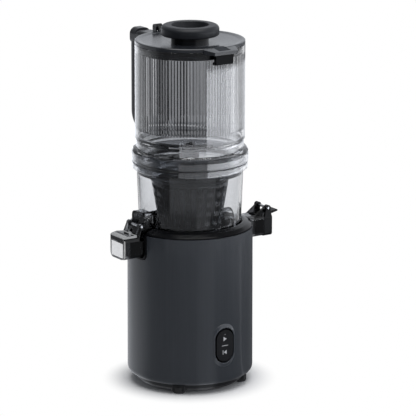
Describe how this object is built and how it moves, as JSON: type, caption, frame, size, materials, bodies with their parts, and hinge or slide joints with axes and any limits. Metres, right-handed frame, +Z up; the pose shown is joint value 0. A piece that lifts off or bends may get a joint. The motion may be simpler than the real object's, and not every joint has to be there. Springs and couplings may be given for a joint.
{
  "type": "cold press juicer",
  "caption": "Upright slow juicer: motor base with rocker switch, clear bowl with strainer, auger and two capped spouts, fluted hopper with hinged lid and handle.",
  "frame": {"origin": "on the auger's axis, at the plane of the feet", "axes": "+Z up along the auger; the switch faces -Y, the juice spout -X, the pulp outlet +X, the handle +Y"},
  "size_m": [0.224, 0.194, 0.4324],
  "materials": {
    "housing": "matt, moulded",
    "seat_plastic": "gloss, moulded",
    "black_plastic": "satin, moulded",
    "lid_plastic": "gloss, moulded",
    "clear_plastic": "clear copolyester, moulded",
    "smoke_plastic": "smoky clear, moulded",
    "rubber_black": "matt",
    "steel_part": "plain",
    "motor_steel": "plated",
    "magnet": "sintered",
    "laminated": "stacked sheet",
    "copper_wire": "enamelled",
    "gear_nylon": "natural",
    "board": "coated",
    "carbon": "pressed",
    "case_plastic": "moulded"
  },
  "bodies": {
    "housing": {"base_shell": "housing", "bowl_seat": "seat_plastic", "base_plate": "black_plastic", "rubber_feet": "rubber_black", "base_screws": "steel_part", "switch_bezel": "housing", "rocker_pin": "steel_part", "switch_board": "board", "control_board": "board", "cord_gland": "black_plastic", "safety_switch": "black_plastic", "motor_mounts": "rubber_black", "lower_bracket": "motor_steel", "upper_bracket": "motor_steel", "motor_can": "motor_steel", "field_magnets": "magnet", "motor_bearings": "steel_part", "carbon_brushes": "carbon", "gearbox_case": "case_plastic", "gearbox_cover": "case_plastic", "gearbox_screws": "steel_part", "idler_pin": "steel_part", "output_bearings": "steel_part", "shaft_seal": "rubber_black"},
    "rotor": {"motor_shaft": "steel_part", "armature_core": "laminated", "armature_windings": "copper_wire", "commutator": "copper_wire", "cooling_fan": "gear_nylon", "motor_pinion": "steel_part"},
    "idler": {"idler_gear": "gear_nylon"},
    "drive": {"drive_shaft": "steel_part", "output_gear": "gear_nylon"},
    "rocker": {"switch_rocker": "black_plastic"},
    "bowl": {"juice_bowl": "clear_plastic", "bowl_seal": "rubber_black", "strainer_basket": "smoke_plastic", "filter_screen": "steel_part", "juice_cap_pin": "steel_part", "pulp_cap_pin": "steel_part"},
    "auger": {"auger_core": "smoke_plastic", "auger_flights": "smoke_plastic", "cutting_wing": "smoke_plastic", "auger_socket": "steel_part"},
    "juice_flap": {"juice_cap": "clear_plastic", "juice_cap_seal": "rubber_black"},
    "pulp_flap": {"pulp_cap": "black_plastic", "pulp_cap_seal": "rubber_black"},
    "hopper_body": {"hopper": "clear_plastic", "hopper_gasket": "rubber_black", "handle": "black_plastic", "lid_hinge_pin": "steel_part"},
    "lid_body": {"lid": "lid_plastic", "lid_gasket": "rubber_black", "feed_collar": "lid_plastic", "latch_pin": "steel_part"},
    "latch": {"lid_latch": "lid_plastic"}
  },
  "joints": [
    {"name": "motor_spin", "type": "hinge", "parent": "housing", "child": "rotor", "pos_m": [0, 0, 0.06], "axis": [0, 0, 1], "continuous": true},
    {"name": "idler_spin", "type": "hinge", "parent": "housing", "child": "idler", "pos_m": [0, 0.0336, 0.115], "axis": [0, 0, 1], "continuous": true},
    {"name": "drive_spin", "type": "hinge", "parent": "housing", "child": "drive", "pos_m": [0, 0, 0.13], "axis": [0, 0, 1], "continuous": true},
    {"name": "auger_spin", "type": "hinge", "parent": "bowl", "child": "auger", "pos_m": [0, 0, 0.2], "axis": [0, 0, 1], "continuous": true},
    {"name": "rocker_tilt", "type": "hinge", "parent": "housing", "child": "rocker", "pos_m": [0, -0.0702, 0.059], "axis": [1, 0, 0], "range_deg": [-4, 4], "stiffness_Nm_per_rad": 0.3},
    {"name": "bowl_lift", "type": "slide", "parent": "housing", "child": "bowl", "axis": [0, 0, 1], "range_m": [0, 0.06]},
    {"name": "juice_cap_hinge", "type": "hinge", "parent": "bowl", "child": "juice_flap", "pos_m": [-0.0769, 0, 0.201], "axis": [0, 1, 0], "range_deg": [0, 75]},
    {"name": "pulp_cap_hinge", "type": "hinge", "parent": "bowl", "child": "pulp_flap", "pos_m": [0.1045, 0, 0.199], "axis": [0, -1, 0], "range_deg": [0, 90]},
    {"name": "hopper_twist", "type": "hinge", "parent": "bowl", "child": "hopper_body", "pos_m": [0, 0, 0.27], "axis": [0, 0, 1], "range_deg": [0, 25]},
    {"name": "lid_hinge", "type": "hinge", "parent": "hopper_body", "child": "lid_body", "pos_m": [0, 0.071, 0.4188], "axis": [-1, 0, 0], "range_deg": [0, 105]},
    {"name": "latch_press", "type": "hinge", "parent": "lid_body", "child": "latch", "pos_m": [0, -0.0715, 0.4108], "axis": [-1, 0, 0], "range_deg": [0, 5], "stiffness_Nm_per_rad": 0.3}
  ],
  "couplings": [
    {"joint": "idler_spin", "follows": "motor_spin", "ratio": -0.33333},
    {"joint": "drive_spin", "follows": "motor_spin", "ratio": 0.11111},
    {"joint": "auger_spin", "follows": "motor_spin", "ratio": 0.11111}
  ]
}
